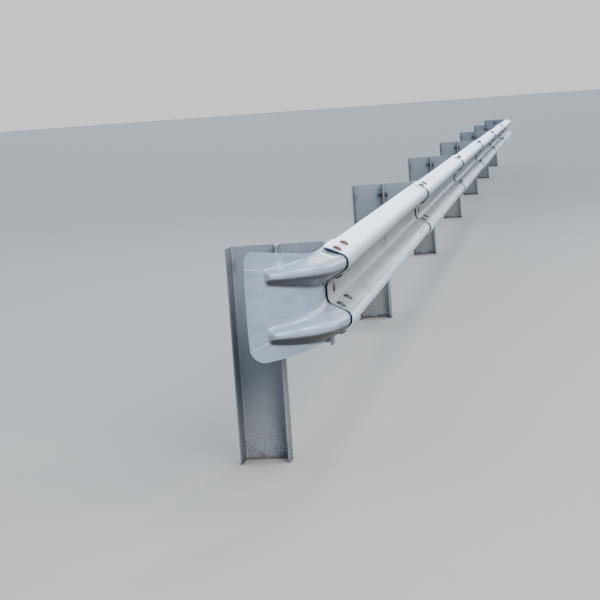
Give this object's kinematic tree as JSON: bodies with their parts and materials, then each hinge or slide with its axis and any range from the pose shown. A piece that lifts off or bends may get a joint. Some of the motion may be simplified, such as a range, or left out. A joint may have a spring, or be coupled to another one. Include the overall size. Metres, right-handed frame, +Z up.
{
  "type": "highway guardrail section",
  "caption": "Steel road guardrail: W-shaped rails lapped end to end on channel posts and spacers, ending in a curved, flared end wing.",
  "frame": {"origin": "ground level in the middle of the first post's web, under that post", "axes": "+X along the rail away from the end wing, -Y toward traffic, +Z up"},
  "size_m": [24.7089, 0.4498, 0.7913],
  "materials": {
    "rail_paint": "silver paint over galvanised sheet steel, weathered and lightly scuffed",
    "wing_paint": "silver-grey paint over pressed sheet steel, with peeled specks and faint stains",
    "channel_paint": "grey paint over bent steel channel, with dirt and rust near the ground"
  },
  "bodies": {
    "root": {"post_1": "channel_paint", "spacer_1": "channel_paint", "post_2": "channel_paint", "spacer_2": "channel_paint", "post_3": "channel_paint", "spacer_3": "channel_paint", "post_4": "channel_paint", "spacer_4": "channel_paint", "post_5": "channel_paint", "spacer_5": "channel_paint", "post_6": "channel_paint", "spacer_6": "channel_paint", "post_7": "channel_paint", "spacer_7": "channel_paint", "rail_1": "rail_paint", "rail_2": "rail_paint", "rail_3": "rail_paint", "rail_4": "rail_paint", "rail_5": "rail_paint", "rail_6": "rail_paint", "end_wing": "wing_paint"}
  },
  "joints": []
}
